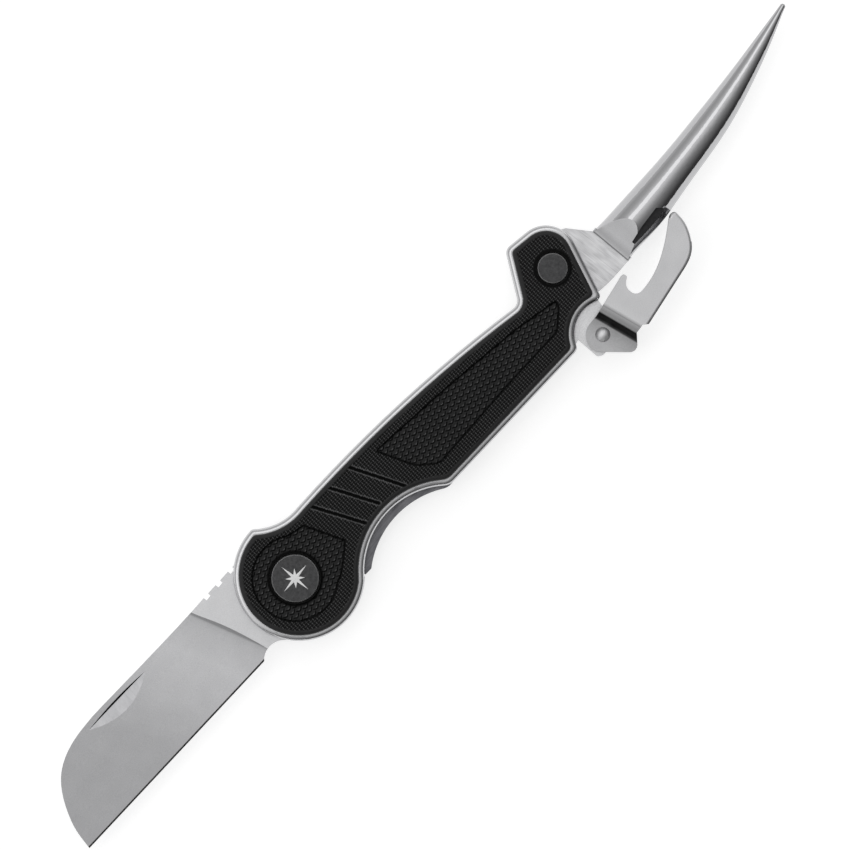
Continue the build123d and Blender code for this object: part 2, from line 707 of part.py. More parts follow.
# Screws of the back scale, threaded into the liner.
for index, place in enumerate(SCREW_PLACES, start=1):
    with BuildPart() as screw:
        with BuildSketch(Plane.XY.offset(0.1)):
            with Locations(place):
                Circle(SCREW_HEAD_R)
        extrude(amount=SCREW_HEAD_T - 0.1)
        with BuildSketch(Plane.XY.offset(SCREW_HEAD_T)):
            with Locations(place):
                Circle(SCREW_R)
        extrude(amount=Z_GAP - SCREW_HEAD_T)
        with BuildSketch(Plane.XY.offset(0.1)):
            with Locations(place):
                RegularPolygon(1.0, 6)
        extrude(amount=0.8, mode=Mode.SUBTRACT)
    screw.part.label = f"back_screw_{index}"
    export_step(screw.part, f"parts/back_screw_{index}.step")
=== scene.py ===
"""Looks of the rigging knife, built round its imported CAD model.

The knife lies on its back scale. X runs from the blade pivot to the spike pivot, and Y points to
the spine side. Lengths are millimetres in the knife's own frame unless a name says otherwise, and
MM turns them into Blender's metres. A tuple of two numbers is a range or a place in plan.
"""

from math import cos, pi, radians, sin

import bpy
import numpy as np
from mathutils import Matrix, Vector
from mathutils.geometry import delaunay_2d_cdt


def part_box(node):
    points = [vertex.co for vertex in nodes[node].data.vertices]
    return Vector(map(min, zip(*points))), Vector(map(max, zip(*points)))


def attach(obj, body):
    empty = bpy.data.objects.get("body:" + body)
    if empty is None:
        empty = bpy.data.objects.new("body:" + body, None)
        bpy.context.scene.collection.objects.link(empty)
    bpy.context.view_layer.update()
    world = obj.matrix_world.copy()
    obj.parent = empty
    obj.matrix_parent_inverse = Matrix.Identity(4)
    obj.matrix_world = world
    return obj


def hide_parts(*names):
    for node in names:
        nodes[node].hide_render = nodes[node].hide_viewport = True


MM = 0.001
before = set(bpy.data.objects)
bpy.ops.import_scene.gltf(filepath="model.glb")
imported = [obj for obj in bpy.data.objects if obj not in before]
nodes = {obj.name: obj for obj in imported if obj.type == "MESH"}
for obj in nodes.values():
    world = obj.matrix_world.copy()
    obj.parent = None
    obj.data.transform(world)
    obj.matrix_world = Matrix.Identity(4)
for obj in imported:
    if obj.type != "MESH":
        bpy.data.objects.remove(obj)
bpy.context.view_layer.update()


def node_box(name):
    """Lowest and highest corner of a CAD node, in millimetres."""
    low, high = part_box(name)
    return np.array(low) / MM, np.array(high) / MM


def centre_of(name):
    """Middle of a CAD node's box, in millimetres."""
    low, high = node_box(name)
    return (low + high) / 2


# Places that the looks share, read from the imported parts.
PIVOT = centre_of("front_pivot_cap")
FRONT_FACE = node_box("front_scale")[1][2]
BACK_FACE = node_box("back_scale")[0][2]
MID_Z = (FRONT_FACE + BACK_FACE) / 2
CAP_TOP = node_box("front_pivot_cap")[1][2]


# ---------------------------------------------------------------- materials

# Values of a noise tone at which a steel shows its dark and its light colour.
TONE_LOW = 0.3
TONE_HIGH = 0.7


class Look:
    """One procedural material. Textures are laid out in millimetres of the knife's own frame."""

    def __init__(self, name, colour, roughness, metallic=0.0, specular=0.5):
        self.material = bpy.data.materials.new(name)
        self.material.use_nodes = True
        self.tree = self.material.node_tree
        self.shader = self.tree.nodes["Principled BSDF"]
        self.shader.inputs["Base Color"].default_value = (*colour, 1.0)
        self.shader.inputs["Roughness"].default_value = roughness
        self.shader.inputs["Metallic"].default_value = metallic
        self.shader.inputs["Specular IOR Level"].default_value = specular
        where = self.tree.nodes.new("ShaderNodeTexCoord").outputs["Object"]
        self.place = self.scaled(where, (1 / MM, 1 / MM, 1 / MM))

    def scaled(self, vector, scale, turn_deg=0.0):
        """The vector scaled along the axes, then turned about Z."""
        node = self.tree.nodes.new("ShaderNodeMapping")
        node.vector_type = "POINT"
        node.inputs["Scale"].default_value = scale
        node.inputs["Rotation"].default_value = (0.0, 0.0, radians(turn_deg))
        self.tree.links.new(vector, node.inputs["Vector"])
        return node.outputs["Vector"]

    def noise(self, per_mm, detail=2.0, rough=0.5, stretch=(1, 1, 1), turn_deg=0.0):
        """Noise with per_mm features to the millimetre; each axis's share of them is in stretch."""
        turned = self.scaled(self.place, (1, 1, 1), turn_deg)
        vector = self.scaled(turned, stretch)
        node = self.tree.nodes.new("ShaderNodeTexNoise")
        node.inputs["Scale"].default_value = per_mm
        node.inputs["Detail"].default_value = detail
        node.inputs["Roughness"].default_value = rough
        self.tree.links.new(vector, node.inputs["Vector"])
        return node.outputs["Fac"]

    def attribute(self, name):
        """A value stored on the mesh's vertices."""
        node = self.tree.nodes.new("ShaderNodeAttribute")
        node.attribute_name = name
        return node.outputs["Fac"]

    def along(self, turn_deg, start, end):
        """0 at start to 1 at end, in millimetres along the direction turned by turn_deg from X."""
        turned = self.scaled(self.place, (1, 1, 1), -turn_deg)
        split = self.tree.nodes.new("ShaderNodeSeparateXYZ")
        self.tree.links.new(turned, split.inputs[0])
        share = self.tree.nodes.new("ShaderNodeMapRange")
        share.inputs["From Min"].default_value = start
        share.inputs["From Max"].default_value = end
        self.tree.links.new(split.outputs[0], share.inputs["Value"])
        return share.outputs[0]

    def sum(self, *terms):
        """Weighted sum of (value, weight) pairs."""
        total = None
        for value, weight in terms:
            node = self.tree.nodes.new("ShaderNodeMath")
            node.operation = "MULTIPLY_ADD"
            self.tree.links.new(value, node.inputs[0])
            node.inputs[1].default_value = weight
            node.inputs[2].default_value = 0.0
            if total is not None:
                self.tree.links.new(total, node.inputs[2])
            total = node.outputs[0]
        return total

    def ramp(self, value, *stops):
        """Colour or grey by value: each stop is (position, colour or number)."""
        node = self.tree.nodes.new("ShaderNodeValToRGB")
        ramp = node.color_ramp
        while len(ramp.elements) < len(stops):
            ramp.elements.new(0.5)
        for element, (position, colour) in zip(ramp.elements, stops):
            element.position = position
            rgb = colour if hasattr(colour, "__len__") else (colour, colour, colour)
            element.color = (*rgb, 1.0)
        self.tree.links.new(value, node.inputs["Fac"])
        return node.outputs["Color"]

    def colour(self, value, *stops):
        """Surface colour by value."""
        self.tree.links.new(self.ramp(value, *stops), self.shader.inputs["Base Color"])

    def gloss(self, value, *stops):
        """Roughness by value."""
        self.tree.links.new(self.ramp(value, *stops), self.shader.inputs["Roughness"])

    def grade(self, tone, dark, light, rough_low, rough_high):
        """Dark and rough where the tone is low, light and smoother where it is high."""
        self.colour(tone, (TONE_LOW, dark), (TONE_HIGH, light))
        self.gloss(tone, (TONE_LOW, rough_high), (TONE_HIGH, rough_low))

    def bump(self, value, height_mm):
        """Surface bumps of height_mm between value 0 and 1. Several calls add up."""
        node = self.tree.nodes.new("ShaderNodeBump")
        node.inputs["Strength"].default_value = 1.0
        node.inputs["Distance"].default_value = height_mm * MM
        self.tree.links.new(value, node.inputs["Height"])
        normal = self.shader.inputs["Normal"]
        if normal.is_linked:
            self.tree.links.new(normal.links[0].from_socket, node.inputs["Normal"])
        self.tree.links.new(node.outputs["Normal"], normal)


def moulded_nylon():
    """Black glass-filled nylon of the scales: fine grain, lighter on the threads of the weave as a
    painted highlight and darker in its pits as painted shade.
    """
    look = Look("moulded_nylon", (0.008, 0.008, 0.009), 0.5, specular=0.15)
    grain = look.noise(9.0, 3.0, 0.6)
    haze = look.noise(0.12, 2.0)
    tone = look.sum((look.attribute("relief_and_shade"), 0.80), (grain, 0.14), (haze, 0.06))
    look.colour(
        tone,
        (0.15, (0.0002, 0.0002, 0.0002)),
        (0.40, (0.0030, 0.0030, 0.0032)),
        (0.60, (0.0260, 0.0260, 0.0264)),
        (0.76, (0.0900, 0.0900, 0.0910)),
        (0.95, (0.1500, 0.1500, 0.1515)),
    )
    look.gloss(tone, (0.10, 0.80), (0.40, 0.52), (0.80, 0.40))
    look.bump(grain, 0.010)
    return look.material


def satin_steel(name, dark, light, rough_low, rough_high, metallic=1.0, blast=7.0):
    """Bead-blasted or tumbled stainless steel: even speckle, a little cloudiness."""
    look = Look(name, light, rough_low, metallic)
    speckle = look.noise(blast, 4.0, 0.7)
    cloud = look.noise(0.25, 2.0)
    look.grade(look.sum((speckle, 0.85), (cloud, 0.15)), dark, light, rough_low, rough_high)
    look.bump(speckle, 0.004)
    return look.material


def shade_banded_steel(name, dark, light, rough_low, rough_high, turn_deg, start, end, *bands):
    """Satin steel with painted shade and highlight bands along one direction in the face, turned to
    turn_deg from X.

    The bands are (millimetres along that direction, share of the tone), from start to end.
    """
    look = Look(name, light, rough_low, 1.0)
    speckle = look.noise(6.0, 4.0, 0.7)
    cloud = look.noise(0.25, 2.0)
    tone = look.sum((speckle, 0.85), (cloud, 0.15))
    stops = [((at - start) / (end - start), share) for at, share in bands]
    shares = look.ramp(look.along(turn_deg, start, end), *stops)
    mixed = look.tree.nodes.new("ShaderNodeMix")
    mixed.data_type = "RGBA"
    mixed.blend_type = "MULTIPLY"
    mixed.inputs["Factor"].default_value = 1.0
    first, second = (socket for socket in mixed.inputs if socket.type == "RGBA")
    result = next(socket for socket in mixed.outputs if socket.type == "RGBA")
    look.tree.links.new(look.ramp(tone, (TONE_LOW, dark), (TONE_HIGH, light)), first)
    look.tree.links.new(shares, second)
    look.tree.links.new(result, look.shader.inputs["Base Color"])
    look.gloss(tone, (TONE_LOW, rough_high), (TONE_HIGH, rough_low))
    look.bump(speckle, 0.003)
    return look.material


def brushed_steel(name, dark, light, rough_low, rough_high, turn_deg):
    """Steel with fine straight grinding lines, turned to turn_deg from X."""
    look = Look(name, light, rough_low, 1.0)
    lines = look.noise(2.2, 4.0, 0.65, (0.06, 4.0, 4.0), -turn_deg)
    smears = look.noise(0.55, 2.0, 0.5, (0.45, 1.4, 1.0), -turn_deg)
    look.grade(look.sum((lines, 0.55), (smears, 0.45)), dark, light, rough_low, rough_high)
    look.bump(lines, 0.003)
    return look.material


def polished_steel():
    """Mirror-polished spike with the faintest polishing lines along it."""
    look = Look("polished_steel", (0.48, 0.48, 0.49), 0.12, 1.0)
    lines = look.noise(3.0, 2.0, 0.5, (0.08, 2.0, 2.0))
    haze = look.noise(0.35, 3.0)
    look.gloss(look.sum((lines, 0.5), (haze, 0.5)), (TONE_LOW, 0.07), (TONE_HIGH, 0.12))
    look.bump(lines, 0.0004)
    return look.material


def mottled_steel(name, dark, light, rough_low, rough_high):
    """Mottled charcoal of the black-oxide screw and pivot heads; also the lighter painted highlight
    of the cap rims and the near-black painted shade.
    """
    look = Look(name, light, rough_low, 0.6)
    mottle = look.noise(1.6, 4.0, 0.65)
    speck = look.noise(12.0, 2.0)
    look.grade(look.sum((mottle, 0.7), (speck, 0.3)), dark, light, rough_low, rough_high)
    look.bump(speck, 0.003)
    return look.material


# Lean of the line where the grind ends, from the knife's Y axis.
PLUNGE_TILT = 15.8

# Line of the shackle's joggle between its tabs and its side plates: its lean from the Y axis, a
# place on it, and how far along the direction square to it that place lies.
# The shackle's painted shade and highlight bands run along this line.
JOGGLE_TILT = 9.5
JOGGLE_PLACE = (83.5, -10.0)
JOGGLE_WAY = (cos(radians(JOGGLE_TILT)), sin(radians(JOGGLE_TILT)))
JOGGLE_AT = JOGGLE_PLACE[0] * JOGGLE_WAY[0] + JOGGLE_PLACE[1] * JOGGLE_WAY[1]

NYLON = moulded_nylon()
LINER = satin_steel("liner_steel", (0.48, 0.48, 0.49), (0.64, 0.64, 0.65), 0.20, 0.28)
# Steel darkened as painted shade of the liner lying over it.
SHADED_LOCK_STEEL = brushed_steel(
    "lock_bar_steel_painted_shade",
    (0.09, 0.09, 0.10),
    (0.22, 0.22, 0.23),
    0.26,
    0.36,
    0.0,
)
RICASSO = satin_steel("tumbled_steel", (0.58, 0.58, 0.59), (0.72, 0.72, 0.73), 0.38, 0.48)
# The grind's bands are painted reflection, lighter towards the plunge, ending in a painted shade
# line along the plunge.
GRIND = shade_banded_steel(
    "ground_steel_painted_shade",
    (0.42, 0.42, 0.43),
    (0.56, 0.56, 0.57),
    0.36,
    0.46,
    PLUNGE_TILT,
    -80.0,
    -12.0,
    (-78.0, 0.90),
    (-56.0, 0.93),
    (-44.0, 0.96),
    (-32.0, 1.16),
    (-24.0, 1.26),
    (-17.6, 1.12),
    (-16.3, 1.02),
    (-16.05, 0.62),
)
# The sharpened bevel, painted near-black as shade.
EDGE_PAINTED_SHADE = brushed_steel("sharpened_edge_painted_shade", (0.02, 0.02, 0.02), (0.06, 0.06, 0.06), 0.20, 0.30, 90.0)
NICK = brushed_steel("nail_nick_cut", (0.36, 0.36, 0.37), (0.46, 0.46, 0.47), 0.32, 0.38, 80.0)
# The nail nick's wall, painted near-black as shade.
NICK_SHADE = brushed_steel(
    "nail_nick_wall_painted_shade",
    (0.02, 0.02, 0.02),
    (0.05, 0.05, 0.05),
    0.28,
    0.38,
    0.0,
)
PLATE = brushed_steel("tang_steel", (0.42, 0.42, 0.43), (0.82, 0.82, 0.83), 0.32, 0.46, 92.0)
# Across the step from the tang, a painted shadow line with a painted highlight beside it; along the
# facet, painted light and shade.
FACET = shade_banded_steel(
    "facet_steel_painted_shade",
    (0.44, 0.44, 0.45),
    (0.58, 0.58, 0.59),
    0.26,
    0.34,
    0.0,
    96.0,
    106.0,
    (96.6, 0.80),
    (96.8, 0.25),
    (97.1, 0.30),
    (97.35, 0.95),
    (98.1, 0.84),
    (99.4, 1.05),
    (102.0, 0.98),
    (105.0, 1.12),
)
# Painted along the joggle: the tabs darker as shade, a near-black band of painted shade and
# reflection on the joggle, then grey lines of painted light and shade before the bright side
# plates.
PRESSED = shade_banded_steel(
    "pressed_steel_painted_shade",
    (0.52, 0.52, 0.53),
    (0.74, 0.74, 0.75),
    0.30,
    0.42,
    JOGGLE_TILT,
    JOGGLE_AT - 6.0,
    JOGGLE_AT + 6.0,
    (JOGGLE_AT - 5.0, 0.72),
    (JOGGLE_AT - 2.2, 0.56),
    (JOGGLE_AT - 1.15, 0.48),
    (JOGGLE_AT - 0.9, 0.20),
    (JOGGLE_AT - 0.4, 0.03),
    (JOGGLE_AT + 0.55, 0.02),
    (JOGGLE_AT + 0.85, 0.50),
    (JOGGLE_AT + 1.3, 0.42),
    (JOGGLE_AT + 2.0, 0.58),
    (JOGGLE_AT + 2.2, 0.42),
    (JOGGLE_AT + 2.45, 0.66),
    (JOGGLE_AT + 2.9, 0.96),
    (JOGGLE_AT + 4.5, 0.90),
)
CHROME = polished_steel()
RIVET_STEEL = satin_steel("rivet_steel", (0.62, 0.62, 0.63), (0.82, 0.82, 0.83), 0.46, 0.56)
LEVER = satin_steel("lever_steel", (0.54, 0.54, 0.55), (0.82, 0.82, 0.83), 0.34, 0.46, blast=4.0)
SPRING = satin_steel("spring_steel", (0.30, 0.30, 0.32), (0.45, 0.45, 0.47), 0.30, 0.42)
CHARCOAL = mottled_steel("charcoal_cap", (0.030, 0.030, 0.031), (0.078, 0.078, 0.080), 0.36, 0.48)
# Lighter steel for the caps' chamfers, a painted highlight.
CAP_RIM_HIGHLIGHT = mottled_steel("charcoal_rim_highlight", (0.34, 0.34, 0.34), (0.52, 0.52, 0.53), 0.30, 0.40)
SCREW_BLACK = mottled_steel("black_screw", (0.018, 0.018, 0.019), (0.040, 0.040, 0.042), 0.34, 0.46)
# Near-black painted shade, for the shackle's web and the spike's pockets.
PAINTED_SHADE = mottled_steel("painted_shade_steel", (0.006, 0.006, 0.007), (0.020, 0.020, 0.021), 0.30, 0.42)
BRONZE = satin_steel("bronze_washer", (0.42, 0.26, 0.12), (0.58, 0.38, 0.19), 0.30, 0.42)
INLAY = satin_steel("pale_inlay", (0.82, 0.82, 0.82), (0.92, 0.92, 0.92), 0.40, 0.50, metallic=0.0)


def faces_of(piece):
    """Centres in millimetres and normals of a piece's faces."""
    mesh = piece.data
    centres = np.zeros(len(mesh.polygons) * 3, np.float32)
    normals = np.zeros(len(mesh.polygons) * 3, np.float32)
    mesh.polygons.foreach_get("center", centres)
    mesh.polygons.foreach_get("normal", normals)
    return centres.reshape(-1, 3) / MM, normals.reshape(-1, 3)


def paint(piece, first, *others):
    """Gives the piece its first material, and each other (material, chosen faces) on top of it."""
    mesh = piece.data
    mesh.materials.clear()
    mesh.materials.append(first)
    index = np.zeros(len(mesh.polygons), np.int32)
    for number, (material, chosen) in enumerate(others, start=1):
        mesh.materials.append(material)
        index[chosen] = number
    mesh.polygons.foreach_set("material_index", index)


def between(values, low, high):
    """True where low < value < high."""
    return (values > low) & (values < high)


def level_of(normals):
    """1 for a face that lies flat, 0 for an upright one."""
    return np.abs(normals[:, 2])


for name in ("front_liner", "back_liner"):
    paint(nodes[name], LINER)
CHAMFER_LEVEL = (0.2, 0.95)
# The chamfer round each cap carries a painted highlight.
for name in ("front_pivot_cap", "back_pivot_cap", "front_spike_cap", "back_spike_cap"):
    centres, normals = faces_of(nodes[name])
    paint(nodes[name], CHARCOAL, (CAP_RIM_HIGHLIGHT, between(level_of(normals), *CHAMFER_LEVEL)))
for name in ("back_screw_1", "back_screw_2", "back_screw_3"):
    paint(nodes[name], SCREW_BLACK)
for name in ("blade_washer_front", "blade_washer_back", "spike_washer_front", "spike_washer_back"):
    paint(nodes[name], BRONZE)
for name in ("stop_pin", "lever_pin", "blade_pivot", "spike_pivot", "bail_rivet", "detent_ball"):
    paint(nodes[name], RIVET_STEEL)
paint(nodes["lock_bar"], SHADED_LOCK_STEEL)
paint(nodes["back_spacer"], SHADED_LOCK_STEEL)
paint(nodes["lock_lever"], LEVER)
paint(nodes["lever_spring"], SPRING)

# The shackle is bright; the bend into its web and the web's end are painted near-black as shade.
WEB_TOP = -19.0
WEB_BEND_LEVEL = (0.05, 0.72)
WEB_END_X = (88.0, 91.0)
WEB_END_TOP = -22.2
PLATE_OUT = 4.0
centres, normals = faces_of(nodes["bail"])
outward = np.abs(centres[:, 2] - MID_Z)
web_bend = between(level_of(normals), *WEB_BEND_LEVEL) & (centres[:, 1] < WEB_TOP)
web_bend &= centres[:, 0] > WEB_END_X[1]
web_end = between(centres[:, 0], *WEB_END_X) & (centres[:, 1] < WEB_END_TOP) & (outward < PLATE_OUT)
paint(nodes["bail"], PRESSED, (PAINTED_SHADE, web_bend | web_end))

# The blade's grind leans back from the edge a little; below it lies the steeper sharpened bevel,
# painted near-black as shade.
GRIND_LEVEL = (0.985, 0.9995)
GRIND_END = -14.0
BEVEL_LEVEL = (0.5, 0.975)
BEVEL_END = -15.0
NICK_X = (-55.0, -33.0)
NICK_BOTTOM = 8.5
NICK_LEVEL = (0.975, 0.9975)
NICK_WALL_LEVEL = (0.2, 0.9)
centres, normals = faces_of(nodes["blade"])
level = level_of(normals)
ground = between(level, *GRIND_LEVEL) & (centres[:, 0] < GRIND_END)
bevel = between(level, *BEVEL_LEVEL) & (centres[:, 0] < BEVEL_END) & (centres[:, 1] < 0.0)
in_nick = between(centres[:, 0], *NICK_X) & (centres[:, 1] > NICK_BOTTOM) & (centres[:, 2] > MID_Z)
nick = in_nick & between(level, *NICK_LEVEL)
nick_wall = in_nick & between(level, *NICK_WALL_LEVEL)
paint(
    nodes["blade"],
    RICASSO,
    (GRIND, ground),
    (NICK, nick),
    (NICK_SHADE, nick_wall),
    (EDGE_PAINTED_SHADE, bevel),
)

# The spike's tang is satin, its tilted facets ground with bands of painted shade and highlight,
# including a painted shadow line at the step, its pockets painted black as shade, the rest
# polished.
TANG_HALF = 1.4
STEP_X = (96.95, 97.55)
FACET_SLOPE = (-0.44, -0.38)
FACET_LEVEL = 0.88
FACET_END = 112.0
POCKET_HALF = 3.1
POCKET_SLACK = 0.02
POCKET_LEVEL = 0.99
POCKET_X = (98.0, 125.0)
centres, normals = faces_of(nodes["spike"])
outward = np.abs(centres[:, 2] - MID_Z)
level = level_of(normals)
tang = (centres[:, 0] < STEP_X[1]) & (outward < TANG_HALF)
step = between(centres[:, 0], *STEP_X) & (outward > TANG_HALF)
facet = between(normals[:, 0], *FACET_SLOPE) & (level > FACET_LEVEL) & (centres[:, 0] < FACET_END)
pocket = between(centres[:, 0], *POCKET_X) & (level > POCKET_LEVEL)
pocket &= np.abs(outward - POCKET_HALF) < POCKET_SLACK
paint(nodes["spike"], CHROME, (PLATE, tang), (FACET, facet | step), (PAINTED_SHADE, pocket))


# ---------------------------------------------------------------- moulded scales

def welded(node):
    """Vertices in millimetres and triangles of a CAD node, with the doubled vertices merged."""
    decimals = 4
    mesh = node.data
    places = np.zeros(len(mesh.vertices) * 3, np.float32)
    mesh.vertices.foreach_get("co", places)
    places = np.round(places.reshape(-1, 3).astype(float) / MM, decimals)
    unique, merged = np.unique(places, axis=0, return_inverse=True)
    mesh.calc_loop_triangles()
    triangles = np.zeros(len(mesh.loop_triangles) * 3, np.int32)
    mesh.loop_triangles.foreach_get("vertices", triangles)
    triangles = merged.reshape(-1)[triangles].reshape(-1, 3)
    solid = (
        (triangles[:, 0] != triangles[:, 1])
        & (triangles[:, 1] != triangles[:, 2])
        & (triangles[:, 2] != triangles[:, 0])
    )
    return unique, triangles[solid]


def rim_loops(triangles):
    """Closed loops of vertex numbers round a set of triangles."""
    seen = {}
    for a, b, c in triangles:
        for edge in ((a, b), (b, c), (c, a)):
            seen[edge] = True
    following = {a: b for a, b in seen if (b, a) not in seen}
    loops = []
    while following:
        start = next(iter(following))
        loop = [start]
        step = following.pop(start)
        while step != start:
            loop.append(step)
            step = following.pop(step)
        loops.append(loop)
    return loops


# Larger than any distance here, and than its square.
FAR = 1e9


def distance_to(points, line, closed=True):
    """Distance in plan from each point to a line of points."""
    ends = np.roll(line, -1, axis=0) if closed else line[1:]
    starts = line if closed else line[:-1]
    nearest = np.full(len(points), FAR)
    for a, b in zip(starts, ends):
        along = b - a
        share = np.clip(((points - a) @ along) / max(along @ along, 1e-12), 0, 1)
        gap = points - a - share[:, None] * along
        nearest = np.minimum(nearest, np.einsum("ij,ij->i", gap, gap))
    return np.sqrt(nearest)


def inside(points, line):
    """True for the points that lie inside a closed line."""
    found = np.zeros(len(points), bool)
    for a, b in zip(line, np.roll(line, -1, axis=0)):
        if a[1] == b[1]:
            continue
        crosses = (points[:, 1] < a[1]) != (points[:, 1] < b[1])
        at = a[0] + (points[:, 1] - a[1]) * (b[0] - a[0]) / (b[1] - a[1])
        found ^= crosses & (points[:, 0] < at)
    return found


def eased(value, low, high):
    """0 at low to 1 at high, level at both ends."""
    share = np.clip((value - low) / (high - low), 0, 1)
    return share * share * (3 - 2 * share)


def bell(value, width):
    """1 at 0, fading over about width to both sides."""
    return np.exp(-(value / width) ** 2)


def rounded(corners, radius, steps=5):
    """Closed line through the corners, each rounded with about the given radius."""
    most = 0.4
    points = []
    corners = [np.array(c, float) for c in corners]
    befores = corners[-1:] + corners[:-1]
    afters = corners[1:] + corners[:1]
    for before, corner, after in zip(befores, corners, afters):
        length_back = np.linalg.norm(before - corner)
        length_ahead = np.linalg.norm(after - corner)
        reach = min(radius, most * length_back, most * length_ahead)
        back = (before - corner) / length_back
        ahead = (after - corner) / length_ahead
        for share in np.linspace(0, 1, steps):
            start = corner + back * reach * (1 - share)
            end = corner + ahead * reach * share
            points.append(start * (1 - share) + end * share)
    return np.array(points)


# Woven ground of the scales: long bars and short ticks in turn, on a lattice tilted to the handle.
# A half size is where the thread has faded, along X and along Y of the lattice.
WEAVE_TILT = -4.5
WEAVE_X = 1.435
WEAVE_Y = 1.099
WEAVE_DEPTH = 0.13
# The threads carry a painted highlight and the pits between them painted shade.
WEAVE_TONE = 0.95
BAR_HALF = (0.44, 0.15)
BAR_HEIGHT = 0.88
TICK_HALF = (0.15, 0.34)

# Shingles of the sunk panels, parted by cuts that bend down in the middle and end in a crest. The
# cuts are painted dark as shade and the crests light as a painted highlight.
STROKE_TILT = -3.26
STROKE_X = 2.84
STROKE_Y = 1.161
STROKE_DEPTH = 0.20
STROKE_LEVEL = 0.2
STROKE_HALF = 0.92
STROKE_FADE = 0.22
BEND_RISE = 0.20
BEND_SHIFT = 0.2
BEND_HALF = 0.85
BEND_MOST = 1.3
CUT_WIDTH = 0.12
CREST_ABOVE = 0.26
CREST_WIDTH = 0.12
TIP_HALF = 0.30
TIP_SHARE = 0.75
SHINGLE_SHARE = 0.55
PANEL_TONE = 0.52

# Sunk panels and the moat along their edge.
PANEL_DEPTH = 0.42
PANEL_EDGE = 0.20
MOAT_AT = 0.24
MOAT_WIDTH = 0.15
MOAT_DEPTH = 0.10
MOAT_SHADE = 0.9

# Three slanting grooves, painted dark as shade, each with a pale lip that is a painted highlight.
GROOVE_DEPTH = 0.42
GROOVE_HALF = 0.22
GROOVE_TOP = GROOVE_HALF + 0.12
GROOVE_BOTTOM = GROOVE_HALF - 0.14
LIP_AT = GROOVE_HALF + 0.28
LIP_WIDTH = 0.16
LIP_FILL = 0.9
LIP_HIGHLIGHT = 0.95

# The texture fades out along the rim and the holes, and a ring of painted shade follows each hole.
RIM_EASE = 0.45
RIM_TONE = 0.60
HOLE_EASE = 0.30
RING_INNER = 0.30
RING_OUTER = 0.60

PIVOT_PANEL_R = 9.3
MAIN_PANEL = rounded(
    (
        (31.4, 4.3),
        (50.0, 1.6),
        (70.0, -2.0),
        (80.8, -4.8),
        (80.2, -6.4),
        (75.8, -9.6),
        (60.0, -8.7),
        (38.3, -8.2),
        (34.6, -4.6),
    ),
    1.2,
)
PIVOT_POINT = np.array(
    (
        (0.6, 9.25),
        (5.4, 7.3),
        (9.9, 5.9),
        (13.2, -3.1),
        (9.5, -5.7),
        (6.0, -7.6),
        (0.0, -6.0),
    )
)
GROOVES = (
    ((13.7, 7.6), (18.6, -4.1)),
    ((19.2, 7.2), (23.6, -3.5)),
    ((25.1, 7.2), (30.0, -5.5)),
)


def turned(points, degrees):
    """Coordinates along and across a lattice turned by degrees."""
    a = radians(degrees)
    along = points[:, 0] * cos(a) + points[:, 1] * sin(a)
    across = points[:, 1] * cos(a) - points[:, 0] * sin(a)
    return along, across


def wrapped(value, period):
    """Signed distance to the nearest multiple of period."""
    return value - period * np.round(value / period)


def depth_inside(points, line):
    """Distance to a closed line, positive for the points inside it."""
    return np.where(inside(points, line), 1, -1) * distance_to(points, line)


def weave(points):
    """0 in the pits to 1 on the threads."""
    u, v = turned(points, WEAVE_TILT)
    best = np.zeros(len(points))
    for shift in (0.0, 0.5):
        up = wrapped(v - shift * WEAVE_Y, WEAVE_Y)
        along_bar = wrapped(u - shift * WEAVE_X, WEAVE_X)
        along_tick = wrapped(u - (0.5 + shift) * WEAVE_X, WEAVE_X)
        bar = np.exp(-(along_bar / BAR_HALF[0]) ** 4 - (up / BAR_HALF[1]) ** 2)
        tick = np.exp(-(along_tick / TICK_HALF[0]) ** 2 - (up / TICK_HALF[1]) ** 4)
        best = np.maximum(best, np.maximum(BAR_HEIGHT * bar, tick))
    return best


def strokes(points):
    """Height and tone of the panels' shingles, which sink towards the edge side of the knife; the
    tone is painted shade in the cuts and a painted highlight on the crests.
    """
    u, v = turned(points, STROKE_TILT)
    height = np.zeros(len(points))
    cut = np.zeros(len(points))
    crest = np.zeros(len(points))
    for shift in (0.0, 0.5):
        across = wrapped(u - shift * STROKE_X, STROKE_X)
        turn = np.clip(across / BEND_HALF, -BEND_MOST, BEND_MOST) * pi
        bend = BEND_RISE * (np.cos(turn) + BEND_SHIFT)
        above = np.mod(v - shift * STROKE_Y + bend, STROKE_Y)
        gap = np.minimum(above, STROKE_Y - above)
        length = eased(STROKE_HALF - np.abs(across), 0.0, STROKE_FADE)
        ridge = (1 - TIP_SHARE) * length + TIP_SHARE * bell(across, TIP_HALF)
        cut = np.maximum(cut, length * bell(gap, CUT_WIDTH))
        crest = np.maximum(crest, ridge * bell(above - CREST_ABOVE, CREST_WIDTH))
        height = np.maximum(height, length * above / STROKE_Y)
    carved = SHINGLE_SHARE * height + (1 - SHINGLE_SHARE) * crest - cut
    tone = PANEL_TONE + (1 - PANEL_TONE) * crest - PANEL_TONE * cut
    return carved, tone


